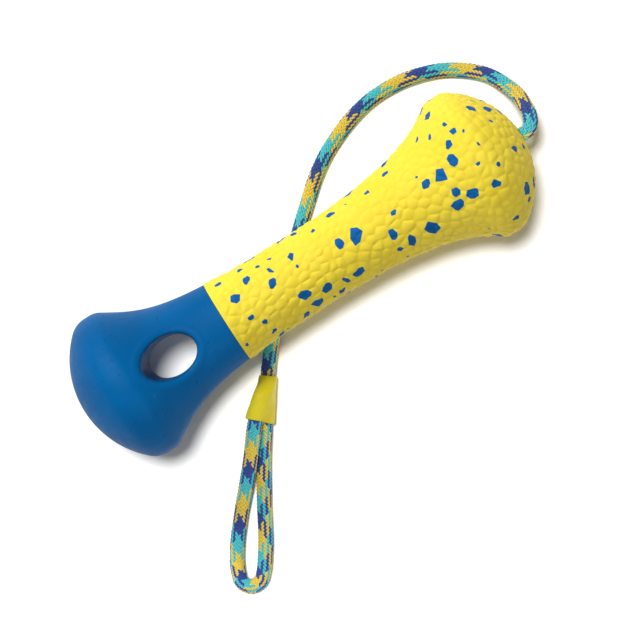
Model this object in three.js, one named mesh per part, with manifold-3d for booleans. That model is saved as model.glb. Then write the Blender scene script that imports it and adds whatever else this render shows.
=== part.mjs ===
// Training bumper: a two-piece floating retrieving toy with a braided throw rope.
// Millimetres. +X runs from the blue grip end to the yellow foam end, +Z is up, and
// the origin is under the middle of the bumper, on the surface that it lies on.
import * as THREE from 'three';
import { mergeVertices } from 'three/addons/utils/BufferGeometryUtils.js';
import Module from 'manifold-3d';

const wasm = await Module();
wasm.setup();

// ---- driving dimensions ------------------------------------------------------------
const LENGTH = 229;              // over both domes
const BULGE_RADIUS = 35;         // both ends, so the bumper lies level
const SHAFT_RADIUS = 17.9;       // thinnest place, where a hand or a mouth holds it
const SHAFT_X = 5;               // where the thinnest place is
const SEAM_X = -40.2;            // joint between the blue moulding and the foam
const GAP = 0.3;                 // between pieces that touch
const SIDES = 32;                // flats round the bumper; one of them faces straight down
const OUTLINE_STEPS = { dome: 10, shoulder: 6, rear: 4, hollow: 14 };
const OVERRUN = 1;               // how far a cutter runs past what it cuts
const AXIS_Z = BULGE_RADIUS;     // height of the bumper's axis

const GRIP_END = {               // blue end
  domeRadius: 43.7, landX: -91.5, landHalf: 1.3, rearRadius: 9, rearSlope: 31.5,
  easeOut: 19.8, easeIn: 65.9,
};
const FOAM_END = {               // yellow end
  domeRadius: 40, landX: 89.6, landHalf: 1.5, rearRadius: 8, rearSlope: 32,
  easeOut: 6, easeIn: 62,
};

const FINGER_HOLE = { x: -68.7, halfLength: 12.9, halfWidth: 9.5, segments: 16 };

const SPIGOT_RADIUS = 11;        // of the blue moulding, glued into the foam's socket
const SPIGOT_ROOT_X = SEAM_X - 5;    // where the spigot begins, inside the blue moulding
const SOCKET_END_X = -14;        // the shoulder at the bottom of the socket
const POCKET_RADIUS = 7.8;       // inside the spigot, round the knot
const POCKET_END_X = -44;
const WASHER = { radius: 7.5, thickness: 2 };
const KNOT = { radius: 7, sides: 16, rings: 10 };

const ROPE_RADIUS = 3.25;
const ROPE_CLEARANCE = 0.45;     // round the rope in the washer, the liner and the dome
const LINER_WALL = 0.9;
const LINER_END_X = 104;
const ROPE_SIDES = 10;
const ROPE_STEPS = 80;

const SLEEVE = { length: 21.5, wall: 0.55, sides: 20, rings: 8, spreadLength: 9 };
const CRIMP = { start: 13, width: 5, wall: 0.25 };   // the band that holds the two legs together

// The free rope's route: out of the dome, down to the ground, round and under the
// shaft, through the sleeve, round the hand loop and back into the sleeve.
const ROPE_ROUTE = [
  [114.5, 0, 35], [117.5, 0, 35], [120.5, 1.5, 34], [123.2, 5.6, 30], [124.6, 10.6, 23.5],
  [125.3, 15.6, 17], [124.6, 21.6, 10.5], [120, 32, 4.6], [110, 41.2, 3.4], [100, 46.6, 3.4],
  [85, 50.7, 3.4], [70, 51.2, 3.4], [55, 48, 3.4], [40, 41.8, 3.4], [30, 35.6, 3.4],
  [20, 27.5, 3.4], [8, 17, 3.4], [-8, 2.3, 3.4], [-24, -13.3, 3.6], [-34, -24.6, 4.2],
  [-38.5, -30.4, 4.5], [-44.9, -39.1, 4.7], [-51.3, -47.8, 4.8], [-61.5, -63, 3.6],
  [-70.5, -77.6, 3.4], [-79.1, -92.3, 3.4], [-84, -99.7, 3.4], [-87.6, -104.5, 3.4],
  [-91.7, -108, 3.4], [-96.4, -107.8, 3.4], [-99.2, -104, 3.4], [-98, -98.8, 3.4],
  [-93, -90, 3.4], [-82.2, -76.7, 3.4], [-73.4, -67.1, 5.2], [-64.7, -57.2, 7.8],
  [-56, -46.6, 10.1], [-50.7, -41.2, 10.8], [-47, -37.9, 11.1],
];
const SLEEVE_TOP_AT = 20;        // the route's points at the sleeve: narrow end, mouth,
const SLEEVE_MOUTH_AT = 22;      // and the returning leg at the mouth
const RETURN_AT = 36;

// ---- helpers -----------------------------------------------------------------------
function point(x, y) {
  return new THREE.Vector2(x, y);
}

// A closed turned solid about the X axis at the height of the bumper's axis. The
// outline is a list of [x, radius] as Vector2; the radius is the distance to a flat.
function turned(outline, sides = SIDES) {
  const toCorner = 1 / Math.cos(Math.PI / sides);
  const profile = outline.map((p) => point(Math.max(p.y, 0) * toCorner, p.x));
  const geometry = new THREE.LatheGeometry(profile, sides, Math.PI / sides);
  geometry.rotateZ(-Math.PI / 2);
  geometry.translate(0, 0, AXIS_Z);
  return geometry;
}

// A turned rod or, with an inner radius, a tube.
function turnedTube(x0, x1, outer, inner = 0) {
  if (inner === 0) return turned([point(x0, 0), point(x0, outer), point(x1, outer), point(x1, 0)]);
  return turned([
    point(x0, inner), point(x0, outer), point(x1, outer), point(x1, inner), point(x0, inner),
  ]);
}

function toSolid(geometry) {
  const bare = geometry.clone();
  bare.deleteAttribute('normal');
  bare.deleteAttribute('uv');
  const merged = mergeVertices(bare, 1e-4);
  return new wasm.Manifold(new wasm.Mesh({
    numProp: 3,
    vertProperties: new Float32Array(merged.attributes.position.array),
    triVerts: new Uint32Array(merged.index.array),
  }));
}

function toGeometry(solid) {
  const mesh = solid.getMesh();
  const geometry = new THREE.BufferGeometry();
  geometry.setAttribute('position', new THREE.BufferAttribute(mesh.vertProperties, 3));
  geometry.setIndex(new THREE.BufferAttribute(mesh.triVerts, 1));
  geometry.computeVertexNormals();
  return geometry;
}

// ---- the bumper's outline ----------------------------------------------------------
// One end, from the apex of its dome to the thinnest place of the shaft: a dome, an
// arc tangent to it, a flat land, an arc round the back of the bulge, and a long
// hollow curve into the shaft. It is drawn with the dome at low x and mirrored by
// "side" for the other end.
function endOutline(end, side) {
  const apex = -LENGTH / 2;
  const land = side < 0 ? end.landX : -end.landX;
  const shaft = side < 0 ? SHAFT_X : -SHAFT_X;
  const domeX = apex + end.domeRadius;
  const landStart = land - end.landHalf;
  const landEnd = land + end.landHalf;
  const reach = domeX - landStart;
  const frontRadius = (end.domeRadius ** 2 - BULGE_RADIUS ** 2 - reach ** 2)
    / (2 * (end.domeRadius - BULGE_RADIUS));
  const tangent = Math.atan2(BULGE_RADIUS - frontRadius, -reach);
  const slope = THREE.MathUtils.degToRad(end.rearSlope);
  const path = new THREE.Path();
  path.absarc(domeX, 0, end.domeRadius, Math.PI, tangent, true);
  const dome = path.getPoints(OUTLINE_STEPS.dome);

  const shoulder = new THREE.Path();
  shoulder.absarc(landStart, BULGE_RADIUS - frontRadius, frontRadius, tangent, Math.PI / 2, true);
  const rear = new THREE.Path();
  rear.absarc(landEnd, BULGE_RADIUS - end.rearRadius, end.rearRadius, Math.PI / 2, Math.PI / 2 - slope, true);
  const rearPoints = rear.getPoints(OUTLINE_STEPS.rear);
  const from = rearPoints[rearPoints.length - 1];
  const hollow = new THREE.CubicBezierCurve(
    from,
    point(from.x + end.easeOut * Math.cos(slope), from.y - end.easeOut * Math.sin(slope)),
    point(shaft - end.easeIn, SHAFT_RADIUS),
    point(shaft, SHAFT_RADIUS),
  );
  const outline = [
    ...dome,
    ...shoulder.getPoints(OUTLINE_STEPS.shoulder).slice(1),
    ...rearPoints,
    ...hollow.getPoints(OUTLINE_STEPS.hollow).slice(1),
  ];
  outline[0].y = 0;
  return side < 0 ? outline : outline.map((p) => point(-p.x, p.y)).reverse();
}

function bumperForm() {
  return turned([...endOutline(GRIP_END, -1), ...endOutline(FOAM_END, 1).slice(1)]);
}

// Everything of a solid between two places along the bumper.
function slice(solid, x0, x1) {
  const box = new THREE.BoxGeometry(x1 - x0, 4 * BULGE_RADIUS, 4 * BULGE_RADIUS);
  box.translate((x0 + x1) / 2, 0, AXIS_Z);
  return solid.intersect(toSolid(box));
}

function fingerHoleCutter() {
  const shape = new THREE.Shape();
  shape.absellipse(FINGER_HOLE.x, 0, FINGER_HOLE.halfLength, FINGER_HOLE.halfWidth, 0, 2 * Math.PI);
  return new THREE.ExtrudeGeometry(shape, {
    depth: 2 * AXIS_Z, bevelEnabled: false, curveSegments: FINGER_HOLE.segments,
  });
}

// ---- pieces ------------------------------------------------------------------------
function gripEnd(form) {
  const spigot = turnedTube(SPIGOT_ROOT_X, SOCKET_END_X - 2 * GAP, SPIGOT_RADIUS);
  const pocket = turnedTube(POCKET_END_X, SOCKET_END_X + OVERRUN, POCKET_RADIUS);
  return toGeometry(slice(form, -LENGTH, SEAM_X - GAP / 2)
    .add(toSolid(spigot))
    .subtract(toSolid(pocket))
    .subtract(toSolid(fingerHoleCutter())));
}

function foamBody(form) {
  const socket = turnedTube(SPIGOT_ROOT_X, SOCKET_END_X, SPIGOT_RADIUS + GAP);
  const linerBore = turnedTube(SOCKET_END_X - OVERRUN, LINER_END_X, linerRadius() + GAP);
  const ropeHole = turnedTube(LINER_END_X - OVERRUN, LENGTH, ROPE_RADIUS + ROPE_CLEARANCE);
  return toGeometry(slice(form, SEAM_X + GAP / 2, LENGTH)
    .subtract(toSolid(socket))
    .subtract(toSolid(linerBore))
    .subtract(toSolid(ropeHole)));
}

function linerRadius() {
  return ROPE_RADIUS + ROPE_CLEARANCE + LINER_WALL;
}

function channelLiner() {
  return turnedTube(SOCKET_END_X + GAP, LINER_END_X - GAP, linerRadius(), ROPE_RADIUS + ROPE_CLEARANCE);
}

const WASHER_END_X = SOCKET_END_X - GAP;
const WASHER_START_X = WASHER_END_X - WASHER.thickness;

function anchorWasher() {
  return turnedTube(WASHER_START_X, WASHER_END_X, WASHER.radius, ROPE_RADIUS + ROPE_CLEARANCE);
}

function stopperKnot() {
  const knot = new THREE.SphereGeometry(KNOT.radius, KNOT.sides, KNOT.rings);
  knot.translate(WASHER_START_X - GAP - KNOT.radius, 0, AXIS_Z);
  return knot;
}

function ropeInnerRun() {
  return turnedTube(WASHER_START_X, LENGTH / 2 - GAP, ROPE_RADIUS);
}

const ropeCurve = new THREE.CatmullRomCurve3(
  ROPE_ROUTE.map((p) => new THREE.Vector3(...p)), false, 'centripetal');

function tugRope() {
  const section = new THREE.Shape();
  section.absarc(0, 0, ROPE_RADIUS, 0, 2 * Math.PI);
  const ring = new THREE.Shape(section.getSpacedPoints(ROPE_SIDES).slice(0, ROPE_SIDES));
  return new THREE.ExtrudeGeometry(ring, {
    steps: ROPE_STEPS, bevelEnabled: false, extrudePath: ropeCurve,
  });
}

// The sleeve's own frame: z runs down the standing leg from the sleeve's narrow end,
// x lies across it towards the returning leg, y is up.
const SLEEVE_TOP = new THREE.Vector3(...ROPE_ROUTE[SLEEVE_TOP_AT]);
const SLEEVE_MOUTH = new THREE.Vector3(...ROPE_ROUTE[SLEEVE_MOUTH_AT]);
const RETURN_AT_MOUTH = new THREE.Vector3(...ROPE_ROUTE[RETURN_AT]);

function sleeveFrame() {
  const along = SLEEVE_MOUTH.clone().sub(SLEEVE_TOP).normalize();
  const across = new THREE.Vector3().crossVectors(new THREE.Vector3(0, 0, 1), along).normalize();
  const up = new THREE.Vector3().crossVectors(along, across);
  return new THREE.Matrix4().makeBasis(across, up, along).setPosition(SLEEVE_TOP);
}

// How far the returning leg lies from the standing leg at a distance down the sleeve.
function legSpread(down) {
  const frame = sleeveFrame();
  const offset = RETURN_AT_MOUTH.clone().applyMatrix4(frame.clone().invert());
  const opened = THREE.MathUtils.smoothstep(down, 0, SLEEVE.spreadLength);
  const across = offset.x * Math.min(down / SLEEVE.length, 1);
  const full = Math.hypot(offset.x, offset.y);
  const up = Math.sqrt(Math.max(full ** 2 - across ** 2, 0));
  return point(across * opened, up * opened);
}

// A tube round both legs: a turned ring whose far half is moved over by the spread.
// "inner" gives its inside radius at a distance down the sleeve.
function roundBothLegs(start, end, inner, wall) {
  const step = (end - start) / SLEEVE.rings;
  const places = Array.from({ length: SLEEVE.rings + 1 }, (_, i) => start + step * i);
  const outside = places.map((down) => point(inner(down) + wall, down));
  const inside = places.map((down) => point(inner(down), down)).reverse();
  const profile = [...outside, ...inside, outside[0].clone()];
  const ring = new THREE.LatheGeometry(profile, SLEEVE.sides, Math.PI / SLEEVE.sides);
  ring.rotateX(Math.PI / 2);
  const position = ring.attributes.position;
  const v = new THREE.Vector3();
  for (let i = 0; i < position.count; i += 1) {
    v.fromBufferAttribute(position, i);
    const spread = legSpread(v.z);
    const towards = v.x * spread.x + v.y * spread.y;
    if (towards > 0) v.set(v.x + spread.x, v.y + spread.y, v.z);
    position.setXYZ(i, v.x, v.y, v.z);
  }
  ring.applyMatrix4(sleeveFrame());
  return ring;
}

const CRIMP_RADIUS = ROPE_RADIUS + GAP;

function loopCrimp() {
  return roundBothLegs(CRIMP.start, CRIMP.start + CRIMP.width, () => CRIMP_RADIUS, CRIMP.wall);
}

// The sleeve fits the one leg at its narrow end and the crimp further down.
function loopSleeve() {
  const extra = CRIMP.wall + GAP;
  const inner = (down) => CRIMP_RADIUS + extra * THREE.MathUtils.smoothstep(down, 0, SLEEVE.spreadLength);
  return roundBothLegs(0, SLEEVE.length, inner, SLEEVE.wall);
}

// ---- materials and assembly --------------------------------------------------------
function material(color, roughness, metalness = 0) {
  return new THREE.MeshStandardMaterial({ color, roughness, metalness });
}

const blueRubber = material(0x04609d, 0.55);
const yellowFoam = material(0xebe151, 0.8);
const clearPlastic = material(0xd9dcd6, 0.4);
const steel = material(0xb9bcc0, 0.3, 0.9);
const ropeBraid = material(0x4fb4c4, 0.85);
const yellowSleeve = material(0xd4c42f, 0.6);

const bumper = new THREE.Group();

function addPiece(name, geometry, look) {
  const mesh = new THREE.Mesh(geometry, look);
  mesh.name = name;
  bumper.add(mesh);
}

const form = toSolid(bumperForm());
addPiece('grip_end', gripEnd(form), blueRubber);
addPiece('foam_body', foamBody(form), yellowFoam);
addPiece('channel_liner', channelLiner(), clearPlastic);
addPiece('anchor_washer', anchorWasher(), steel);
addPiece('stopper_knot', stopperKnot(), ropeBraid);
addPiece('rope_inner_run', ropeInnerRun(), ropeBraid);
addPiece('tug_rope', tugRope(), ropeBraid);
addPiece('loop_crimp', loopCrimp(), steel);
addPiece('loop_sleeve', loopSleeve(), yellowSleeve);

export default bumper;
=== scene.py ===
"""Training bumper: the looks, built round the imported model.

The row frame is in metres: +X from the blue grip end to the yellow foam end, +Z up, the
bumper's axis level above the ground. Sizes here are in millimetres until a mesh is made.
"""
import math

import bmesh
import bpy
import numpy as np
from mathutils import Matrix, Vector, kdtree


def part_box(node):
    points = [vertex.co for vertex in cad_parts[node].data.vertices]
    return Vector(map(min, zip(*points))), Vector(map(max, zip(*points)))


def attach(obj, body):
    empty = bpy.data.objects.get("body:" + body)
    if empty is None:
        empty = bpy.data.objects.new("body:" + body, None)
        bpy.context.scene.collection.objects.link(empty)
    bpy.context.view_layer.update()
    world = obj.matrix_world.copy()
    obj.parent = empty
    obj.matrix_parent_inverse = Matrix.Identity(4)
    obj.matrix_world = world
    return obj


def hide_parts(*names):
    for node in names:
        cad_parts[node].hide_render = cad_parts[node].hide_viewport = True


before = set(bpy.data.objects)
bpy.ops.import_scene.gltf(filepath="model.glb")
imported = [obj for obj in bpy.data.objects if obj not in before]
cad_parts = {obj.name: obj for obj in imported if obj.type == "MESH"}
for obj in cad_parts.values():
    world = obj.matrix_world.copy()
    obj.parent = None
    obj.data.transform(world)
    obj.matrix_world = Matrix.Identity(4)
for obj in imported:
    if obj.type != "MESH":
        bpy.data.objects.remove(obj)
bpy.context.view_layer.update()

MM = 0.001                       # metres in a millimetre
GRIP_LOW, GRIP_HIGH = (np.array(corner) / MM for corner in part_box("grip_end"))
SEAM_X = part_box("foam_body")[0][0] / MM
LINER_LOW, LINER_HIGH = (np.array(corner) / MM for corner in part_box("channel_liner"))
AXIS_Z = (GRIP_LOW[2] + GRIP_HIGH[2]) / 2
BULGE_RADIUS = AXIS_Z
APEX_X = -GRIP_LOW[0]            # both domes reach as far from the middle

# The bumper's outline, as in the CAD: each end is a dome, a shoulder, a narrow land, an arc
# round the back of the bulge and a hollow curve into the shaft.
SHAFT_RADIUS = 17.9
SHAFT_X = 5
GRIP_END = dict(dome=43.7, land=-91.5, half=1.3, rear=9, slope=31.5, ease_out=19.8, ease_in=65.9)
FOAM_END = dict(dome=40, land=89.6, half=1.5, rear=8, slope=32, ease_out=6, ease_in=62)

HOLE_X, HOLE_HALF_LENGTH, HOLE_HALF_WIDTH = -68.7, 12.9, 9.5

# The free rope's route, the same points as the CAD's tube.
ROPE_ROUTE = [
    (114.5, 0, 35), (117.5, 0, 35), (120.5, 1.5, 34), (123.2, 5.6, 30), (124.6, 10.6, 23.5),
    (125.3, 15.6, 17), (124.6, 21.6, 10.5), (120, 32, 4.6), (110, 41.2, 3.4), (100, 46.6, 3.4),
    (85, 50.7, 3.4), (70, 51.2, 3.4), (55, 48, 3.4), (40, 41.8, 3.4), (30, 35.6, 3.4),
    (20, 27.5, 3.4), (8, 17, 3.4), (-8, 2.3, 3.4), (-24, -13.3, 3.6), (-34, -24.6, 4.2),
    (-38.5, -30.4, 4.5), (-44.9, -39.1, 4.7), (-51.3, -47.8, 4.8), (-61.5, -63, 3.6),
    (-70.5, -77.6, 3.4), (-79.1, -92.3, 3.4), (-84, -99.7, 3.4), (-87.6, -104.5, 3.4),
    (-91.7, -108, 3.4), (-96.4, -107.8, 3.4), (-99.2, -104, 3.4), (-98, -98.8, 3.4),
    (-93, -90, 3.4), (-82.2, -76.7, 3.4), (-73.4, -67.1, 5.2), (-64.7, -57.2, 7.8),
    (-56, -46.6, 10.1), (-50.7, -41.2, 10.8), (-47, -37.9, 11.1),
]
# The route's points at the sleeve: narrow end, mouth, and the returning leg at the mouth.
SLEEVE_TOP_AT, SLEEVE_MOUTH_AT, RETURN_AT = 20, 22, 36
SLEEVE_TOP, SLEEVE_MOUTH, RETURN_AT_MOUTH = (
    np.array(ROPE_ROUTE[i], float) for i in (SLEEVE_TOP_AT, SLEEVE_MOUTH_AT, RETURN_AT))


# ---- camera ------------------------------------------------------------------------------
CAMERA_ABOVE = (-5.8, -16.9)     # the point that the camera stands over
CAMERA_HEIGHT = 1000             # above the bumper's axis
CAMERA_ROLL = 32.4               # +X climbs this many degrees in the picture
CAMERA_VIEW = 277.4              # width seen at the height of the axis


def make_camera():
    data = bpy.data.cameras.new("camera")
    data.sensor_width = 36
    data.lens = data.sensor_width * CAMERA_HEIGHT / CAMERA_VIEW
    data.clip_end = 10
    camera = bpy.data.objects.new("camera", data)
    camera.location = Vector((*CAMERA_ABOVE, AXIS_Z + CAMERA_HEIGHT)) * MM
    camera.rotation_euler = (0, 0, -math.radians(CAMERA_ROLL))
    bpy.context.scene.collection.objects.link(camera)
    bpy.context.scene.camera = camera


# ---- mesh helpers ------------------------------------------------------------------------
def make_object(name, points, faces, smooth=True):
    """points in millimetres."""
    mesh = bpy.data.meshes.new(name)
    mesh.from_pydata((np.asarray(points) * MM).tolist(), [], faces)
    mesh.validate()
    mesh.update()
    if smooth:
        mesh.shade_smooth()
    piece = bpy.data.objects.new(name, mesh)
    bpy.context.scene.collection.objects.link(piece)
    return piece


def grid_faces(rows, columns, start=0, wrap=True):
    """Quads of a grid whose rows run round; row r, column c is point start + r * columns + c."""
    i = np.arange(rows - 1)[:, None] * columns
    c = np.arange(columns if wrap else columns - 1)[None, :]
    d = (c + 1) % columns
    quads = np.stack([i + c, i + columns + c, i + columns + d, i + d], -1).reshape(-1, 4) + start
    return quads.tolist()


def smoothstep(value, low, high):
    t = np.clip((np.asarray(value, float) - low) / (high - low), 0, 1)
    return t * t * (3 - 2 * t)


def curve_points(route, per_segment=24):
    """A centripetal Catmull-Rom curve through the route, as the CAD's tube follows."""
    p = np.array(route, float)
    p = np.vstack([2 * p[0] - p[1], p, 2 * p[-1] - p[-2]])
    out = []
    t = np.linspace(0, 1, per_segment, endpoint=False)[:, None]
    for a, b, c, d in zip(p[:-3], p[1:-2], p[2:-1], p[3:]):
        ab, bc, cd = (math.sqrt(np.linalg.norm(v)) for v in (b - a, c - b, d - c))
        start = ((b - a) / ab - (c - a) / (ab + bc) + (c - b) / bc) * bc
        end = ((c - b) / bc - (d - b) / (bc + cd) + (d - c) / cd) * bc
        out.append((2 * t**3 - 3 * t**2 + 1) * b + (t**3 - 2 * t**2 + t) * start
                   + (3 * t**2 - 2 * t**3) * c + (t**3 - t**2) * end)
    return np.vstack([*out, p[-2][None]])


class Line:
    """A curve by distance along it, with an upward and a sideways direction at each place."""

    def __init__(self, points):
        self.points = points
        self.at = np.r_[0, np.cumsum(np.linalg.norm(np.diff(points, axis=0), axis=1))]
        self.length = self.at[-1]
        self.tangents = np.gradient(points, self.at, axis=0)
        self.tangents /= np.linalg.norm(self.tangents, axis=1)[:, None]

    def frames(self, s):
        """Centre, tangent, up and right at each distance."""
        centre = np.stack([np.interp(s, self.at, self.points[:, k]) for k in range(3)], -1)
        tangent = np.stack([np.interp(s, self.at, self.tangents[:, k]) for k in range(3)], -1)
        tangent /= np.linalg.norm(tangent, axis=-1)[..., None]
        right = np.cross(tangent, np.array([0.0, 0.0, 1.0]))
        right /= np.linalg.norm(right, axis=-1)[..., None]
        return centre, tangent, np.cross(right, tangent), right


# ---- the bumper's outline ----------------------------------------------------------------
OUTLINE_SAMPLES = dict(dome=200, shoulder=60, back=40, hollow=300)


def end_outline(end, side):
    """Places along the bumper with their radius, from one end's apex (side -1 blue, 1 yellow)
    to the thinnest place, ordered from low x to high x."""
    land = end["land"] if side < 0 else -end["land"]
    shaft = SHAFT_X if side < 0 else -SHAFT_X
    dome_x = end["dome"] - APEX_X
    land_start, land_end = land - end["half"], land + end["half"]
    front = (end["dome"] ** 2 - BULGE_RADIUS**2 - (dome_x - land_start) ** 2) / (
        2 * (end["dome"] - BULGE_RADIUS))
    tangent = math.atan2(BULGE_RADIUS - front, land_start - dome_x)
    slope = math.radians(end["slope"])
    a = np.linspace(math.pi, tangent, OUTLINE_SAMPLES["dome"])
    dome = np.stack([dome_x + end["dome"] * np.cos(a), end["dome"] * np.sin(a)], -1)
    a = np.linspace(tangent, math.pi / 2, OUTLINE_SAMPLES["shoulder"])
    shoulder = np.stack([land_start + front * np.cos(a),
                         BULGE_RADIUS - front + front * np.sin(a)], -1)
    a = np.linspace(math.pi / 2, math.pi / 2 - slope, OUTLINE_SAMPLES["back"])
    back = np.stack([land_end + end["rear"] * np.cos(a),
                     BULGE_RADIUS - end["rear"] + end["rear"] * np.sin(a)], -1)
    ease = end["ease_out"] * np.array([math.cos(slope), -math.sin(slope)])
    p = [back[-1], back[-1] + ease, np.array([shaft - end["ease_in"], SHAFT_RADIUS]),
         np.array([shaft, SHAFT_RADIUS])]
    t = np.linspace(0, 1, OUTLINE_SAMPLES["hollow"])[:, None]
    hollow = ((1 - t)**3 * p[0] + 3 * (1 - t)**2 * t * p[1]
              + 3 * (1 - t) * t**2 * p[2] + t**3 * p[3])
    line = np.vstack([dome, shoulder[1:], back, hollow[1:]])
    line[:, 1] = np.maximum(line[:, 1], 0)
    return line if side < 0 else (line * [-1, 1])[::-1]


OUTLINE = np.vstack([end_outline(GRIP_END, -1), end_outline(FOAM_END, 1)[1:]])


def radius_at(x):
    """The smooth outline's radius at each place along the bumper."""
    return np.interp(x, OUTLINE[:, 0], OUTLINE[:, 1])


def spaced_outline(x0, x1, step):
    """Points of the outline between two places, evenly spaced along it."""
    inside = OUTLINE[(OUTLINE[:, 0] > x0) & (OUTLINE[:, 0] < x1)]
    line = np.vstack([[x0, radius_at(x0)], inside, [x1, radius_at(x1)]])
    at = np.r_[0, np.cumsum(np.hypot(*np.diff(line, axis=0).T))]
    s = np.linspace(0, at[-1], max(2, round(at[-1] / step)))
    return np.stack([np.interp(s, at, line[:, 0]), np.interp(s, at, line[:, 1])], -1)


def turned_points(line, columns):
    """Rings of points about the bumper's axis; column 0 is straight up, then towards -Y."""
    a = np.arange(columns) * 2 * math.pi / columns
    x = np.repeat(line[:, 0, None], columns, 1)
    return np.stack([x, -line[:, 1, None] * np.sin(a), AXIS_Z + line[:, 1, None] * np.cos(a)], -1)


# ---- materials ---------------------------------------------------------------------------
def linear(red, green, blue):
    """A shader colour from red, green and blue out of 255, as a screen shows them."""
    return (*(((c / 255 + 0.055) / 1.055) ** 2.4 if c > 10.3 else c / 3294.6
              for c in (red, green, blue)), 1.0)


class Shader:
    """A node material with one Principled shader, and short ways to add what feeds it."""

    def __init__(self, name, roughness=0.6, **values):
        self.material = bpy.data.materials.new(name)
        self.material.use_nodes = True
        self.tree = self.material.node_tree
        self.main = self.tree.nodes["Principled BSDF"]
        self.main.inputs["Roughness"].default_value = roughness
        for socket, value in values.items():
            self.main.inputs[socket.replace("_", " ")].default_value = value

    def add(self, kind, links=(), settings=(), **values):
        node = self.tree.nodes.new("ShaderNode" + kind)
        for key, value in dict(settings).items():
            setattr(node, key, value)
        for socket, value in values.items():
            node.inputs[socket.replace("_", " ")].default_value = value
        for socket, source in dict(links).items():
            self.tree.links.new(source, node.inputs[socket])
        return node

    def place(self):
        """Position on the part, in metres."""
        return self.add("TexCoord").outputs["Object"]

    def noise(self, where, scale, detail=3.0, roughness=0.5, stretch=None):
        if stretch is not None:
            where = self.add("Mapping", {"Vector": where}, Scale=stretch).outputs[0]
        return self.add("TexNoise", {"Vector": where}, Scale=scale, Detail=detail,
                        Roughness=roughness).outputs["Fac"]

    def attribute(self, name):
        return self.add("Attribute", settings={"attribute_name": name}).outputs["Fac"]

    def span(self, value, low, high, to_low=0.0, to_high=1.0):
        """value from low..high to to_low..to_high, held at both ends."""
        node = self.add("MapRange", {"Value": value})
        for socket, number in zip(("From Min", "From Max", "To Min", "To Max"),
                                  (low, high, to_low, to_high)):
            node.inputs[socket].default_value = number
        return node.outputs[0]

    def mix(self, factor, first, second):
        """Colours, each a socket or a plain colour."""
        node = self.add("Mix", settings={"data_type": "RGBA"})
        for place, source in ((0, factor), (6, first), (7, second)):
            if isinstance(source, (tuple, float)):
                node.inputs[place].default_value = source
            else:
                self.tree.links.new(source, node.inputs[place])
        return node.outputs[2]

    def arithmetic(self, operation, value, number=0.0):
        node = self.add("Math", {0: value}, {"operation": operation})
        node.inputs[1].default_value = number
        return node.outputs[0]

    def bump(self, height, distance, strength=1.0, before=None):
        links = {"Height": height}
        if before is not None:
            links["Normal"] = before
        return self.add("Bump", links, Distance=distance, Strength=strength).outputs[0]

    def feed(self, **sockets):
        for socket, source in sockets.items():
            self.tree.links.new(source, self.main.inputs[socket.replace("_", " ")])
        return self.material


# ---- rope --------------------------------------------------------------------------------
NAVY, AQUA, MUSTARD = linear(34, 60, 148), linear(58, 200, 211), linear(234, 205, 60)
BLACK = linear(0, 0, 0)
CREST_V = 2.0                    # the strand UVs' v on a strand's crest; its edges are 2 away


def yarn_material(name, colour, darker, lighter):
    """Plaited yarn: long fibres along each strand, uneven in colour, with painted shade between
    strands.
    """
    s = Shader(name, roughness=0.72, Sheen_Weight=0.1, Sheen_Roughness=0.5)
    along = s.add("UVMap", settings={"uv_map": "strand"}).outputs[0]
    fibres = s.noise(along, 1.0, 2.0, stretch=(0.25, 9.0, 1.0))
    patches = s.noise(s.place(), 420.0, 2.0)
    shade = s.mix(s.span(fibres, 0.3, 0.7), darker, lighter)
    yarn = s.mix(s.span(patches, 0.35, 0.65, 0.35, 0.75), shade, colour)
    # Painted shade: the yarn's colour darkens toward black at each strand's edges, where strands
    # meet and shade falls.
    across = s.add("SeparateXYZ", {"Vector": along}).outputs["Y"]
    from_crest = s.arithmetic("ABSOLUTE", s.arithmetic("SUBTRACT", across, CREST_V))
    yarn = s.mix(s.span(from_crest, 0.9, 1.9, 0.0, 0.6), yarn, s.mix(0.55, darker, BLACK))
    return s.feed(Base_Color=yarn, Normal=s.bump(fibres, 0.00018, 0.7))


def dark_core_material():
    s = Shader("rope_core", roughness=0.9)
    grain = s.noise(s.place(), 900.0)
    return s.feed(Base_Color=s.mix(grain, linear(40, 46, 70), linear(58, 66, 92)))


STRANDS = 16                     # each way round
WAVES = STRANDS // 2             # over and under, in one turn of a strand
SAMPLES_PER_WAVE = 6
MEAN_LAY = 30                    # for spacing the samples along a strand
CREST = 0.26                     # how far a strand rises and dips
BRAID_RADIUS = 2.98
CORE_RADIUS, CORE_SIDES, CORE_STEP, CORE_SLOT = BRAID_RADIUS - 0.3, 20, 2.0, 3
STRAND_SHIFT = 7.3               # of the UVs, so that no two strands have the same fibres
STRAND_SECTION = np.array(       # across the strand, and out from the rope
    [(0.55, -0.12), (0.36, 0.15), (0.0, 0.28), (-0.36, 0.15), (-0.55, -0.12), (0.0, -0.2)])
# How the three colours follow each other: 5 navy strands, 6 mustard and 5 aqua.
STRAND_COLOURS = [0] * 5 + [1] * 6 + [2] * 5
# Length of one turn of the pattern, from each distance along the rope on. It is open where the
# rope drops from its hole, and tight in the sleeve and round the loop's end.
LAY = [(0, 38.5), (44, 29.5), (65, 32.5), (226, 25.8), (245, 19.1), (267, 25.8), (335, 16.7),
       (360, 28.2), (390, 25.4)]
# Where the blocks of plain colour face, in degrees from straight up.
TURNED = [(0, -20), (14, -20), (30, 6), (50, 34), (250, 34), (300, 64), (335, 60), (375, 0),
          (500, -5)]
FIRST_PHASE = 0.705              # of a turn, at the exit
# The crimp squeezes both legs by this, between these places down the sleeve.
CRIMP_SQUEEZE, SQUEEZE_FROM, SQUEEZE_TO = 0.16, (10.5, 12.5), (18.5, 20.5)


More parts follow.
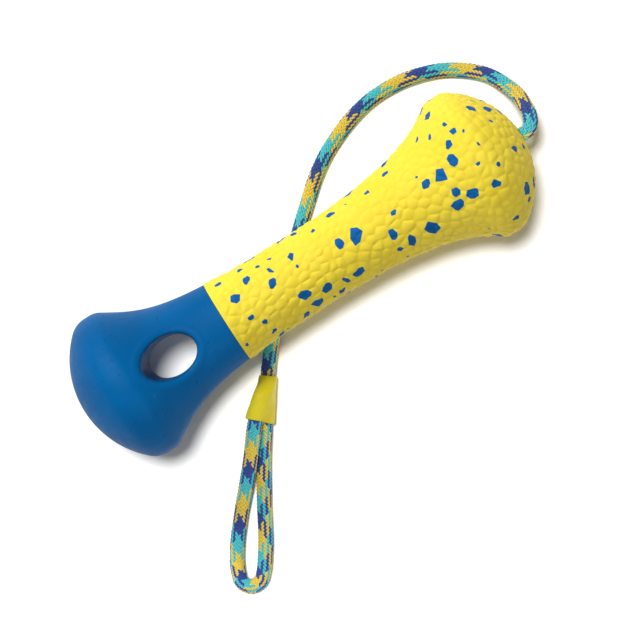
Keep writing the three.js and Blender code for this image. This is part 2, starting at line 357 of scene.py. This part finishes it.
def strand_mesh(line, direction, index):
    """One strand's points, ring by ring, and each ring's distance along the strand. The strand
    turns to the right with direction 1 and to the left with -1."""
    s = np.linspace(0, line.length, round(line.length / MEAN_LAY * WAVES * SAMPLES_PER_WAVE))
    starts, turns = np.array(LAY).T
    lay = turns[np.searchsorted(starts, s, side="right") - 1]
    phase = 2 * math.pi * (FIRST_PHASE + np.r_[0, np.cumsum(np.diff(s) / lay[1:])])
    around = direction * phase + 2 * math.pi * index / STRANDS
    out = BRAID_RADIUS + direction * CREST * np.cos(WAVES * around - math.pi / 4)
    angle = around + np.radians(np.interp(s, *np.array(TURNED).T))
    centre, tangent, up, right = line.frames(s)
    down = (centre - SLEEVE_TOP) @ sleeve_axes()[0]
    out -= CRIMP_SQUEEZE * smoothstep(down, *SQUEEZE_FROM) * (1 - smoothstep(down, *SQUEEZE_TO))
    outward = np.cos(angle)[:, None] * up + np.sin(angle)[:, None] * right
    path = centre + out[:, None] * outward
    along = np.gradient(path, axis=0)
    along /= np.linalg.norm(along, axis=1)[:, None]
    across = np.cross(along, outward)
    across /= np.linalg.norm(across, axis=1)[:, None]
    proud = np.cross(across, along)
    points = (path[:, None] + STRAND_SECTION[None, :, :1] * across[:, None]
              + STRAND_SECTION[None, :, 1:] * proud[:, None])
    length = np.r_[0, np.cumsum(np.linalg.norm(np.diff(path, axis=0), axis=1))]
    return points, length


def rope_piece():
    """The braid: 16 strands each way, two over and two under, round a dark core."""
    line = Line(curve_points(ROPE_ROUTE))
    sides = len(STRAND_SECTION)
    points, faces, slots, uvs = [], [], [], []
    count = 0
    for direction in (1, -1):
        for index in range(STRANDS):
            strand, length = strand_mesh(line, direction, index)
            rows = len(strand)
            points.append(strand.reshape(-1, 3))
            quads = grid_faces(rows, sides, count)
            faces += quads
            faces.append(list(range(count, count + sides)))
            faces.append(list(range(count + (rows - 1) * sides, count + rows * sides))[::-1])
            colour = STRAND_COLOURS[-index % STRANDS if direction > 0 else index]
            slots += [colour] * (len(quads) + 2)
            offset = STRAND_SHIFT * (index + STRANDS * (direction > 0))
            for r in range(rows - 1):
                low, high = length[r] + offset, length[r + 1] + offset
                for c in range(sides):
                    uvs += [(low, c), (high, c), (high, c + 1), (low, c + 1)]
            uvs += [(offset, 0)] * (2 * sides)
            count += strand.size // 3
    centre, tangent, up, right = line.frames(np.arange(0, line.length, CORE_STEP))
    a = np.arange(CORE_SIDES)[None, :, None] * 2 * math.pi / CORE_SIDES
    core = centre[:, None] + CORE_RADIUS * (np.cos(a) * up[:, None] + np.sin(a) * right[:, None])
    points.append(core.reshape(-1, 3))
    quads = grid_faces(len(centre), CORE_SIDES, count)
    last_ring = count + (len(centre) - 1) * CORE_SIDES
    faces += quads
    faces.append(list(range(count, count + CORE_SIDES)))
    faces.append(list(range(last_ring, last_ring + CORE_SIDES))[::-1])
    slots += [CORE_SLOT] * (len(quads) + 2)
    uvs += [(0, 0)] * (4 * len(quads) + 2 * CORE_SIDES)
    rope = make_object("braided_rope", np.vstack(points), faces)
    rope.data.polygons.foreach_set("material_index", slots)
    layer = rope.data.uv_layers.new(name="strand")
    layer.data.foreach_set("uv", np.array(uvs, np.float32).ravel())
    for material in (
        yarn_material("yarn_navy", NAVY, linear(26, 44, 112), linear(56, 98, 180)),
        yarn_material("yarn_mustard", MUSTARD, linear(196, 162, 44), linear(250, 227, 104)),
        yarn_material("yarn_aqua", AQUA, linear(40, 152, 168), linear(112, 217, 222)),
        dark_core_material(),
    ):
        rope.data.materials.append(material)
    return rope, line


# ---- grip end ----------------------------------------------------------------------------
GRIP_COLUMNS = 192
GRIP_STEP = 0.9
RIM_ROUNDING = 2.3               # where the finger hole turns into the outer skin
RIM_BEAD = 0.22                  # height of a low raised ring round the hole
BEAD_OUT, BEAD_WIDTH = 0.7, 0.8  # from the rounding's outer edge to the ring's crest
RIM_BAND = 2.6                   # the skin round the rounding that carries the ring
RIM_STEPS = dict(patch=7, band=7, rounding=9, wall=17)
PATCH_HALF_ANGLE = 39            # degrees round the bumper that the hole's patch takes
PATCH_MARGINS = (5, 4)           # of the patch past the rounding, before and after the hole
HOLE_WAIST = 0.9                 # drafted from both faces, so narrower by this at mid height
SEAM_GAP = 0.15
SPIGOT_RADIUS, SPIGOT_END_X = 11.0, GRIP_HIGH[0]
POCKET_RADIUS, POCKET_END_X = 7.8, -44.0


def hole_rings(edge):
    """Plan rings from a patch's edge in to the finger hole's wall, each with how far it drops
    below the outer skin. edge is the patch's boundary in plan."""
    turn = np.arctan2(edge[:, 1] / HOLE_HALF_WIDTH, (edge[:, 0] - HOLE_X) / HOLE_HALF_LENGTH)

    def oval(offset):
        return np.stack([HOLE_X + (HOLE_HALF_LENGTH + offset) * np.cos(turn),
                         (HOLE_HALF_WIDTH + offset) * np.sin(turn)], -1)

    def bead(away):
        return RIM_BEAD * math.exp(-(away / BEAD_WIDTH) ** 2)

    outer = oval(RIM_ROUNDING + RIM_BAND)
    for share in np.linspace(0, 1, RIM_STEPS["patch"])[1:]:
        yield edge * (1 - share) + outer * share, 0.0
    for offset in np.linspace(RIM_ROUNDING + RIM_BAND, RIM_ROUNDING, RIM_STEPS["band"])[1:]:
        yield oval(offset), -bead(offset - RIM_ROUNDING - BEAD_OUT)
    for a in np.radians(np.linspace(0, 90, RIM_STEPS["rounding"]))[1:]:
        drop = RIM_ROUNDING * (1 - math.cos(a)) - bead(BEAD_OUT + RIM_ROUNDING * math.sin(a))
        yield oval(RIM_ROUNDING * (1 - math.sin(a))), drop


def grip_piece():
    """The blue end: a turned skin, left open at two patches that lead into the finger hole."""
    outer = spaced_outline(GRIP_LOW[0], SEAM_X - SEAM_GAP, GRIP_STEP)
    rows = len(outer)
    inner = np.array([(outer[-1, 0], SPIGOT_RADIUS), (SPIGOT_END_X, SPIGOT_RADIUS),
                      (SPIGOT_END_X, POCKET_RADIUS), (POCKET_END_X, POCKET_RADIUS)])
    rings = turned_points(np.vstack([outer[1:], inner]), GRIP_COLUMNS)
    points = [np.array([[outer[0, 0], 0, AXIS_Z], [POCKET_END_X, 0, AXIS_Z]]), rings.reshape(-1, 3)]
    hole_reach = HOLE_HALF_LENGTH + RIM_ROUNDING
    first_row = int(np.searchsorted(outer[1:, 0], HOLE_X - hole_reach - PATCH_MARGINS[0]))
    last_row = int(np.searchsorted(outer[1:, 0], HOLE_X + hole_reach + PATCH_MARGINS[1]))
    half = GRIP_COLUMNS // 2
    reach = round(GRIP_COLUMNS * PATCH_HALF_ANGLE / 360)    # columns each side of its middle

    def at(row, column):
        return 2 + row * GRIP_COLUMNS + column % GRIP_COLUMNS

    faces = [[0, at(0, c), at(0, c + 1)] for c in range(GRIP_COLUMNS)]
    last = rows - 1 + len(inner) - 1
    faces += [[1, at(last, c + 1), at(last, c)] for c in range(GRIP_COLUMNS)]
    for row in range(last):
        for c in range(GRIP_COLUMNS):
            side = min(c, GRIP_COLUMNS - 1 - c), abs(c - half + 0.5)
            if first_row <= row < last_row and (side[0] < reach or side[1] < reach):
                continue
            faces.append([at(row, c), at(row + 1, c), at(row + 1, c + 1), at(row, c + 1)])

    border = [(first_row, c) for c in range(-reach, reach)]
    border += [(r, reach) for r in range(first_row, last_row)]
    border += [(last_row, c) for c in range(reach, -reach, -1)]
    border += [(r, -reach) for r in range(last_row, first_row, -1)]
    around = len(border)
    edge = np.array([rings[r, c % GRIP_COLUMNS, :2] for r, c in border])
    plans = list(hole_rings(edge))
    heights = [np.sqrt(np.maximum(radius_at(plan[:, 0]) ** 2 - plan[:, 1] ** 2, 0)) - drop
               for plan, drop in plans]
    loops = []
    count = 2 + rings.size // 3
    for up in (1, -1):
        loop = [at(r, c if up > 0 else half - c) for r, c in border]
        chain = [loop]
        for (plan, drop), height in zip(plans, heights):
            points.append(np.column_stack([plan, AXIS_Z + up * height]))
            chain.append(list(range(count, count + around)))
            count += around
        loops.append(chain)
    wall = [loops[0][-1]]
    from_middle = plans[-1][0] - [HOLE_X, 0]
    for share in np.linspace(0, 1, RIM_STEPS["wall"])[1:-1]:
        narrower = HOLE_WAIST * math.sin(math.pi * share) / np.hypot(*from_middle.T)
        plan = plans[-1][0] - from_middle * narrower[:, None]
        points.append(np.column_stack([plan, AXIS_Z + heights[-1] * (1 - 2 * share)]))
        wall.append(list(range(count, count + around)))
        count += around
    wall.append(loops[1][-1])
    for chain, way in ((loops[0], 1), (loops[1], -1), (wall, 1)):
        for a, b in zip(chain[:-1], chain[1:]):
            for k in range(around):
                j = (k + 1) % around
                faces.append([a[k], a[j], b[j], b[k]][::way])
    piece = make_object("blue_grip", np.vstack(points), faces)
    tidy_normals(piece, sharp_degrees=42)
    return piece


def tidy_normals(piece, sharp_degrees):
    """Faces point out, and edges sharper than that stay crisp."""
    shape = bmesh.new()
    shape.from_mesh(piece.data)
    bmesh.ops.recalc_face_normals(shape, faces=shape.faces)
    shape.to_mesh(piece.data)
    shape.free()
    piece.data.set_sharp_from_angle(angle=math.radians(sharp_degrees))


def grip_material():
    """Smooth moulded rubber: faint scuffs along it, a soft grain and a few pits."""
    s = Shader("blue_rubber", roughness=0.5, Specular_IOR_Level=0.06)
    where = s.place()
    clouds = s.noise(where, 38.0, 4.0)
    scuffs = s.noise(where, 60.0, 5.0, 0.65, stretch=(0.5, 4.0, 4.0))
    grain = s.noise(where, 1400.0, 2.0)
    specks = s.noise(where, 520.0, 1.0)
    base = s.mix(s.span(clouds, 0.3, 0.7), linear(0, 87, 147), linear(0, 97, 160))
    base = s.mix(s.span(specks, 0.69, 0.75, 0.0, 0.45), base, linear(4, 62, 112))
    marks = s.noise(where, 26.0, 6.0, 0.7, stretch=(1.0, 9.0, 9.0))
    base = s.mix(s.span(marks, 0.62, 0.72, 0.0, 0.22), base, linear(60, 124, 178))
    gloss = s.span(scuffs, 0.3, 0.75, 0.42, 0.62)
    pits = s.bump(s.span(specks, 0.70, 0.76, 1.0, 0.0), 0.00012, 0.5)
    rough = s.bump(grain, 0.00003, 0.5, before=pits)
    return s.feed(Base_Color=base, Roughness=gloss,
                  Normal=s.bump(scuffs, 0.0001, 0.25, before=rough))


# ---- foam body ---------------------------------------------------------------------------
FOAM_COLUMNS = 400
FOAM_STEP = 0.5
FOAM_PROUD = 0.25                # the foam stands this far proud of the blue at the seam
PROUD_EDGE, PROUD_FADE = 0.7, (2, 14)    # from the seam: up to its full height, and back to 0
ROPE_HOLE_RADIUS = 3.7
LIP_START, LIP_END = 0.45, 0.75  # the rope hole's bevelled edge, in from the apex
LIP_ROOM = 0.9                   # the skin stops this far outside the hole
CLEARANCE = 0.3                  # round the liner and the spigot
SEAM_FADE, HOLE_FADE = (0.3, 1.8), (0.8, 2.5)    # where the pebbles grow from nothing
PEBBLE_SEED, SHAPE_SEED = 11, 12
PEBBLE_TRIES = 14000             # places tried; one too near another pebble is passed over
PEBBLE_SPACING = 3.8
PEBBLE_APART = (0.74, 1.32)      # of the spacing, so that large and small ones mix
PEBBLE_RISE = 0.42
PEBBLE_UNEVEN = 0.22             # spread of their heights
PEBBLE_TILT = 0.05               # spread of their slopes
PEBBLE_ROUND, TILT_ROUND = 2.3, 4    # powers: the larger, the flatter on top
PEBBLE_SUNK = 0.6                # of the rise, below the outline
CREASE_START, CREASE_DEPTH = 0.84, 0.05
FLECK_SEED = 12
FLECK_COUNT = 148                # all round; they fall at random, as crumbs do in moulded foam
FLECK_TRIES = 2640               # places tried; one too near another fleck is passed over
FLECK_LENGTHS = (1.5, 9.0)
FLECK_MIX = (1.5, 1.7)           # of short and long ones, as a beta distribution
FLECK_WIDTH_SHARE = (0.5, 1.0)
FLECK_CORNERS = (4, 8)           # from the first up to one less than the second
FLECK_TWIST, FLECK_REACH = 0.3, (0.74, 1.16)    # how uneven the corners are, round and out
FLECK_MARGINS = (2, 3)           # clear foam at the seam and at the apex
FLECK_FAR = 3.0                  # distances are held at this
FLECK_GAP = 0.2                  # clear foam between two flecks, at least


def outward(points):
    """The direction away from the bumper's axis at each point."""
    away = points - np.stack([points[..., 0], 0 * points[..., 0], 0 * points[..., 0] + AXIS_Z], -1)
    return away / np.maximum(np.linalg.norm(away, axis=-1)[..., None], 1e-6)


def skin_normals(points):
    """The outward normal of the smooth outline at each point of the skin."""
    x = points[..., 0]
    slope = (radius_at(x + 0.2) - radius_at(x - 0.2)) / 0.4
    normal = outward(points) + np.stack([-slope, 0 * slope, 0 * slope], -1)
    return normal / np.linalg.norm(normal, axis=-1)[..., None]


def scattered(count, low_x, high_x, rng):
    """Random points on the skin, evenly thick over its area."""
    line = spaced_outline(low_x, high_x, 0.5)
    at = np.r_[0, np.cumsum((line[1:, 1] + line[:-1, 1]) / 2)]
    x = np.interp(rng.random(count) * at[-1], at, line[:, 0])
    a = rng.random(count) * 2 * math.pi
    r = radius_at(x)
    return np.stack([x, -r * np.sin(a), AXIS_Z + r * np.cos(a)], -1)


def pebble_centres():
    """Places a pebble's width apart, some closer and some further."""
    rng = np.random.default_rng(PEBBLE_SEED)
    kept = np.empty((0, 3))
    for candidate in scattered(PEBBLE_TRIES, SEAM_X - 2, APEX_X, rng):
        apart = PEBBLE_SPACING * rng.uniform(*PEBBLE_APART)
        if not len(kept) or np.min(np.sum((kept - candidate) ** 2, 1)) > apart**2:
            kept = np.vstack([kept, candidate])
    return kept


def pebble_heights(points):
    """Height of the pebbled skin over each point: rounded cells with narrow creases."""
    centres = pebble_centres()
    tree = kdtree.KDTree(len(centres))
    for i, centre in enumerate(centres):
        tree.insert(centre, i)
    tree.balance()
    rng = np.random.default_rng(SHAPE_SEED)
    tilt = rng.normal(0, PEBBLE_TILT, (len(centres), 3))
    rise = 1 + rng.normal(0, PEBBLE_UNEVEN, len(centres))
    near = np.array([[(i, d) for _, i, d in tree.find_n(p, 2)] for p in points])
    first, d1, d2 = near[:, 0, 0].astype(int), near[:, 0, 1], near[:, 1, 1]
    crease = np.clip(2 * d1 / (d1 + d2), 0, 1)
    lean = np.sum((points - centres[first]) * tilt[first], 1)
    dome = (PEBBLE_RISE * rise[first] * (1 - crease**PEBBLE_ROUND)
            + lean * (1 - crease**TILT_ROUND))
    return dome - PEBBLE_SUNK * PEBBLE_RISE - CREASE_DEPTH * smoothstep(crease, CREASE_START, 1)


def polygon_distance(p, corners):
    """Signed distance in the plane, negative inside."""
    best = np.full(len(p), np.inf)
    inside = np.zeros(len(p), bool)
    for a, b in zip(corners, np.roll(corners, -1, 0)):
        edge = b - a
        t = np.clip((p - a) @ edge / (edge @ edge), 0, 1)
        best = np.minimum(best, np.linalg.norm(p - a - t[:, None] * edge, axis=1))
        crosses = (a[1] > p[:, 1]) != (b[1] > p[:, 1])
        with np.errstate(divide="ignore", invalid="ignore"):
            inside ^= crosses & (p[:, 0] < a[0] + (p[:, 1] - a[1]) * edge[0] / edge[1])
    return np.where(inside, -best, best)


def scattered_flecks(rng):
    """Place, length and width of each fleck, none of them touching another."""
    flecks = []
    shortest, longest = FLECK_LENGTHS
    from_seam, from_apex = FLECK_MARGINS
    for place in scattered(FLECK_TRIES, SEAM_X + from_seam, APEX_X - from_apex, rng):
        length = shortest + (longest - shortest) * rng.beta(*FLECK_MIX)
        clear = all(np.linalg.norm(place - other) > (length + other_length) / 2 + FLECK_GAP
                    for other, other_length, _ in flecks)
        if clear and len(flecks) < FLECK_COUNT:
            flecks.append((place, length, length * rng.uniform(*FLECK_WIDTH_SHARE)))
    return flecks


def fleck_outline(length, width, rng):
    """An irregular flake with four to seven corners, turned any way."""
    corners = rng.integers(*FLECK_CORNERS)
    twist = rng.uniform(-FLECK_TWIST, FLECK_TWIST, corners)
    a = (np.arange(corners) + twist) * 2 * math.pi / corners
    reach = rng.uniform(*FLECK_REACH, corners)[:, None]
    shape = np.stack([np.cos(a) * length / 2, np.sin(a) * width / 2], -1) * reach
    turn = rng.uniform(0, math.pi)
    return shape @ np.array([[math.cos(turn), math.sin(turn)], [-math.sin(turn), math.cos(turn)]])


def fleck_distances(points):
    """Distance from each point of the skin to the nearest fleck's edge, negative inside."""
    rng = np.random.default_rng(FLECK_SEED)
    distance = np.full(len(points), FLECK_FAR)
    for place, length, width in scattered_flecks(rng):
        normal = skin_normals(place)
        along = np.array([1.0, 0, 0]) - normal * normal[0]
        along /= np.linalg.norm(along)
        across = np.cross(normal, along)
        near = np.linalg.norm(points - place, axis=1) < length + FLECK_FAR
        local = np.stack([(points[near] - place) @ along, (points[near] - place) @ across], -1)
        outline = fleck_outline(length, width, rng)
        distance[near] = np.minimum(distance[near], polygon_distance(local, outline))
    return np.clip(distance, -FLECK_FAR, FLECK_FAR)


def foam_piece():
    """The yellow body, turned with its rope hole, the liner's bore and the spigot's socket."""
    outer = spaced_outline(SEAM_X, APEX_X, FOAM_STEP)
    outer = outer[outer[:, 1] > ROPE_HOLE_RADIUS + LIP_ROOM]
    bore_start, bore_end = LINER_LOW[0] - CLEARANCE, LINER_HIGH[0] + CLEARANCE
    bore_radius = LINER_HIGH[2] - AXIS_Z + CLEARANCE
    socket_radius = SPIGOT_RADIUS + CLEARANCE
    inner = np.array([(APEX_X - LIP_START, ROPE_HOLE_RADIUS + LIP_START),
                      (APEX_X - LIP_END, ROPE_HOLE_RADIUS), (bore_end, ROPE_HOLE_RADIUS),
                      (bore_end, bore_radius), (bore_start, bore_radius),
                      (bore_start, socket_radius), (SEAM_X, socket_radius)])
    line = np.vstack([outer, inner])
    rings = turned_points(line, FOAM_COLUMNS)
    skin = rings[:len(outer)].reshape(-1, 3)
    from_seam = skin[:, 0] - SEAM_X
    from_hole = np.hypot(skin[:, 1], skin[:, 2] - AXIS_Z) - ROPE_HOLE_RADIUS
    fade = smoothstep(from_seam, *SEAM_FADE) * smoothstep(from_hole, *HOLE_FADE)
    edge = np.sqrt(np.clip(from_seam / PROUD_EDGE, 0, 1))
    lift = FOAM_PROUD * edge * (1 - smoothstep(from_seam, *PROUD_FADE))
    swell = pebble_heights(skin) * fade + lift
    pebbled = skin + swell[:, None] * skin_normals(skin)
    rings[:len(outer)] = pebbled.reshape(len(outer), FOAM_COLUMNS, 3)
    rows = len(line)
    faces = grid_faces(rows, FOAM_COLUMNS)
    faces += [[(rows - 1) * FOAM_COLUMNS + c, c, (c + 1) % FOAM_COLUMNS,
               (rows - 1) * FOAM_COLUMNS + (c + 1) % FOAM_COLUMNS] for c in range(FOAM_COLUMNS)]
    piece = make_object("foam_shell", rings.reshape(-1, 3), faces)
    tidy_normals(piece, sharp_degrees=50)
    flecks = np.full(rows * FOAM_COLUMNS, FLECK_FAR, np.float32)
    flecks[:len(skin)] = fleck_distances(skin)
    piece.data.attributes.new("fleck", "FLOAT", "POINT").data.foreach_set("value", flecks)
    height = np.zeros(rows * FOAM_COLUMNS, np.float32)
    height[:len(skin)] = swell
    piece.data.attributes.new("pebble", "FLOAT", "POINT").data.foreach_set("value", height)
    return piece


def foam_material():
    """Closed-cell foam: matte, a fine grain, and painted shade darkening the creases."""
    s = Shader("yellow_foam", roughness=0.62, Specular_IOR_Level=0.15)
    where = s.place()
    clouds = s.noise(where, 45.0, 4.0)
    grain = s.noise(where, 1500.0, 3.0, 0.6)
    fleck = s.attribute("fleck")
    yellow = s.mix(s.span(clouds, 0.3, 0.7), linear(249, 228, 72), linear(245, 221, 60))
    # Painted shade: where the pebbled skin dips into its creases, the yellow is darkened.
    crease = s.span(s.attribute("pebble"), -0.26, -0.08, 0.16, 0.0)
    yellow = s.mix(crease, yellow, linear(222, 196, 44))
    blue = s.mix(s.span(clouds, 0.3, 0.7), linear(0, 90, 158), linear(0, 100, 171))
    base = s.mix(s.span(fleck, -0.06, 0.06), blue, yellow)
    gloss = s.span(grain, 0.3, 0.7, 0.55, 0.72)
    return s.feed(Base_Color=base, Roughness=gloss, Normal=s.bump(grain, 0.00005, 0.6))


# ---- loop sleeve -------------------------------------------------------------------------
SLEEVE_LENGTH = 21.5
SLEEVE_WALL = 0.6
SLEEVE_COLUMNS = 72
SLEEVE_ROWS = 24
SLEEVE_INNER = 3.63              # from a leg's centre line, at the narrow end
FLARE, FLARE_SPAN = 0.36, (2, 20)    # wider by this at the mouth
SPREAD_LENGTH = 9                # over which the legs part
HALF_WIDTH = 8                   # of the mouth, about
MOUTH_CUT = (1.0, -0.5)          # how far it slants: down at its side, up at its top
CUT_START = 8                    # where the slant begins, down the sleeve
RIPPLE = 0.05
BAND_POINTS = 181                # half of them round each leg


def leg_spread(down):
    """From the standing leg to the returning one at a distance down the sleeve, as in the CAD."""
    offset = RETURN_AT_MOUTH - SLEEVE_TOP
    _, across, up = sleeve_axes()
    side, rise = offset @ across, offset @ up
    sideways = side * min(max(down, 0) / SLEEVE_LENGTH, 1)
    upward = math.sqrt(max(side**2 + rise**2 - sideways**2, 0))
    return np.array([sideways, upward]) * float(smoothstep(down, 0, SPREAD_LENGTH))


def sleeve_axes():
    """Down the standing leg, across it towards the returning one, and up."""
    along = SLEEVE_MOUTH - SLEEVE_TOP
    along /= np.linalg.norm(along)
    across = np.cross([0, 0, 1], along)
    across /= np.linalg.norm(across)
    return along, across, np.cross(along, across)


def round_both(spread, radius):
    """Evenly spaced points on a band drawn tight round both legs."""
    facing = math.atan2(spread[1], spread[0])
    a = facing - math.pi / 2 + np.linspace(0, 2 * math.pi, BAND_POINTS)
    centre = np.where((np.arange(BAND_POINTS) <= BAND_POINTS // 2)[:, None], spread, [0, 0])
    band = centre + radius * np.stack([np.cos(a), np.sin(a)], -1)
    band = np.vstack([band, band[:1]])
    at = np.r_[0, np.cumsum(np.linalg.norm(np.diff(band, axis=0), axis=1))]
    start = np.argmin(band[:-1, 1])
    s = (at[start] + np.arange(SLEEVE_COLUMNS) * at[-1] / SLEEVE_COLUMNS) % at[-1]
    return np.stack([np.interp(s, at, band[:, 0]), np.interp(s, at, band[:, 1])], -1)


def sleeve_piece():
    """A tube shrunk tight round both legs, its ends rounded over."""
    along, across, up = sleeve_axes()
    outside = np.array([0.12, 0.0, 0.15, *np.linspace(1, SLEEVE_LENGTH - 1, SLEEVE_ROWS),
                        SLEEVE_LENGTH - 0.15, SLEEVE_LENGTH, SLEEVE_LENGTH - 0.12])
    grow = [0.0, 0.2, 0.42, *[SLEEVE_WALL] * SLEEVE_ROWS, 0.42, 0.2, 0.0]
    inside = outside[1:-1][::-1]
    rings = []
    for down, wall in [*zip(outside, grow), *((d, 0.0) for d in inside)]:
        inner = SLEEVE_INNER + FLARE * float(smoothstep(down, *FLARE_SPAN))
        band = round_both(leg_spread(down), inner + wall)
        cut = (MOUTH_CUT[0] * band[:, 0] + MOUTH_CUT[1] * band[:, 1]) / HALF_WIDTH
        place = down + cut * smoothstep(down, CUT_START, SLEEVE_LENGTH)
        ripple = RIPPLE * np.sin(band[:, 0] * 1.9 + down * 0.9) * np.sin(down * 0.55)
        band = band * (1 + ripple[:, None] / HALF_WIDTH)
        rings.append(SLEEVE_TOP + band[:, :1] * across + band[:, 1:] * up + place[:, None] * along)
    rows = len(rings)
    faces = grid_faces(rows, SLEEVE_COLUMNS)
    last = (rows - 1) * SLEEVE_COLUMNS
    faces += [[last + c, c, (c + 1) % SLEEVE_COLUMNS, last + (c + 1) % SLEEVE_COLUMNS]
              for c in range(SLEEVE_COLUMNS)]
    piece = make_object("shrink_sleeve", np.vstack(rings), faces)
    tidy_normals(piece, sharp_degrees=60)
    return piece


def sleeve_material():
    s = Shader("sleeve_yellow", roughness=0.5, Specular_IOR_Level=0.25)
    where = s.place()
    clouds = s.noise(where, 160.0, 3.0)
    grain = s.noise(where, 1300.0, 2.0)
    base = s.mix(s.span(clouds, 0.3, 0.7), linear(238, 222, 42), linear(228, 210, 36))
    return s.feed(Base_Color=base, Roughness=s.span(clouds, 0.3, 0.7, 0.42, 0.56),
                  Normal=s.bump(grain, 0.00003, 0.5))


# ---- the CAD's own hidden pieces ---------------------------------------------------------
def dress(node, material):
    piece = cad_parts[node]
    piece.data.materials.clear()
    piece.data.materials.append(material)


def clear_tube_material():
    s = Shader("natural_tube", roughness=0.35, Specular_IOR_Level=0.4)
    clouds = s.noise(s.place(), 90.0, 3.0)
    lines = s.noise(s.place(), 240.0, 2.0, stretch=(0.15, 3.0, 3.0))
    base = s.mix(s.span(clouds, 0.3, 0.7), linear(224, 226, 220), linear(208, 212, 206))
    return s.feed(Base_Color=base, Roughness=s.span(lines, 0.3, 0.7, 0.28, 0.45),
                  Normal=s.bump(lines, 0.00005, 0.4))


def brushed_metal(name, bright, dull, turning):
    """turning stretches the brush marks along one axis."""
    s = Shader(name, roughness=0.35, Metallic=1.0)
    marks = s.noise(s.place(), 500.0, 4.0, stretch=turning)
    return s.feed(Base_Color=s.mix(s.span(marks, 0.3, 0.7), bright, dull),
                  Roughness=s.span(marks, 0.3, 0.7, 0.24, 0.42),
                  Normal=s.bump(marks, 0.00003, 0.5))


def plated_steel_material():
    return brushed_metal("plated_steel", linear(206, 208, 212), linear(180, 183, 188),
                         (0.4, 3.0, 3.0))


def aluminium_material():
    return brushed_metal("crimp_metal", linear(222, 223, 226), linear(200, 202, 206),
                         (2.0, 2.0, 0.5))


def knot_yarn_material():
    """The rope's three colours in slanting bands, for the rope inside the body."""
    s = Shader("inner_braid", roughness=0.75)
    where = s.place()
    bands = s.noise(where, 260.0, 1.0, stretch=(0.7, 1.0, 1.0))
    fibres = s.noise(where, 1600.0, 2.0, stretch=(0.3, 2.0, 2.0))
    base = s.mix(s.span(bands, 0.44, 0.46), NAVY, AQUA)
    base = s.mix(s.span(bands, 0.55, 0.57), base, MUSTARD)
    return s.feed(Base_Color=base, Normal=s.bump(fibres, 0.0002, 0.8))


# ---- stage -------------------------------------------------------------------------------
FLOOR_REACH, FLOOR_Z = 4000, -0.3    # just under the rope's lowest strands


def make_stage():
    corners = [(x * FLOOR_REACH, y * FLOOR_REACH, FLOOR_Z)
               for x, y in ((-1, -1), (1, -1), (1, 1), (-1, 1))]
    floor = make_object("floor", corners, [(0, 1, 2, 3)], smooth=False)
    s = Shader("floor_white", roughness=0.9, Base_Color=(0.97, 0.97, 0.97, 1.0))
    floor.data.materials.append(s.material)
    return floor


def area_light(name, place, size, power, lit=None):
    """A round light aimed at the origin. It lights everything, or only the objects in "lit"."""
    data = bpy.data.lights.new(name, "AREA")
    data.shape = "DISK"
    data.size = size
    data.energy = power
    light = bpy.data.objects.new(name, data)
    light.location = place
    light.rotation_euler = (-Vector(place)).to_track_quat("-Z", "Y").to_euler()
    bpy.context.scene.collection.objects.link(light)
    if lit is not None:
        light.light_linking.receiver_collection = bpy.data.collections.new(name + "_lights")
        for thing in lit:
            light.light_linking.receiver_collection.objects.link(thing)


WORLD_COLOUR, WORLD_STRENGTH = (1.0, 0.92, 0.84), 0.2     # warm, as the shadows are
# Each light's place, width and power. The bumper and the floor are lit apart, so that the floor
# shows white with a narrow shadow.
LIGHTS = {
    "key": ((-0.25, 1.15, 2.76), 0.5, 46.5),
    "floor_key": ((-0.13, 0.52, 2.95), 0.6, 90.0),       # nearly overhead
    "rake": ((-0.55, 2.3, 1.9), 0.7, 40.0),              # low, for the pebbles
    "fill": ((-0.9, -0.5, 1.0), 1.2, 1.2),
    "low_fill": ((0.45, -2.0, 1.9), 0.9, 13.0),          # from the side away from the key
    "rope_fill": ((0.3, -2.5, 1.1), 1.0, 20.0),
}


def make_lights(lit):
    """lit gives the objects that a light is kept to; a light that it doesn't name lights all."""
    world = bpy.data.worlds.new("studio")
    world.use_nodes = True
    background = world.node_tree.nodes["Background"]
    background.inputs["Color"].default_value = (*WORLD_COLOUR, 1)
    background.inputs["Strength"].default_value = WORLD_STRENGTH
    bpy.context.scene.world = world
    for name, (place, size, power) in LIGHTS.items():
        area_light(name, place, size, power, lit.get(name))
    view = bpy.context.scene.view_settings
    view.view_transform = "Standard"
    view.look = "None"


# ---- assembly ----------------------------------------------------------------------------
PATH_POINTS = 221

make_camera()
rope, rope_line = rope_piece()
sleeve = sleeve_piece()
sleeve.data.materials.append(sleeve_material())
for piece in (rope, sleeve):
    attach(piece, "root")
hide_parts("loop_sleeve")
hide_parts("tug_rope")
(rope_line.frames(np.linspace(0, rope_line.length, PATH_POINTS))[0] * MM).tolist()

grip = grip_piece()
grip.data.materials.append(grip_material())
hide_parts("grip_end")

foam = foam_piece()
foam.data.materials.append(foam_material())
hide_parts("foam_body")

for piece in (grip, foam):
    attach(piece, "root")

for node, look in (("channel_liner", clear_tube_material), ("anchor_washer", plated_steel_material),
                   ("stopper_knot", knot_yarn_material), ("rope_inner_run", knot_yarn_material),
                   ("loop_crimp", aluminium_material)):
    dress(node, look())

bumper = [rope, sleeve, grip, foam]
make_lights({"key": bumper, "rake": bumper, "floor_key": [make_stage()],
             "low_fill": [rope, sleeve, grip], "rope_fill": [rope]})
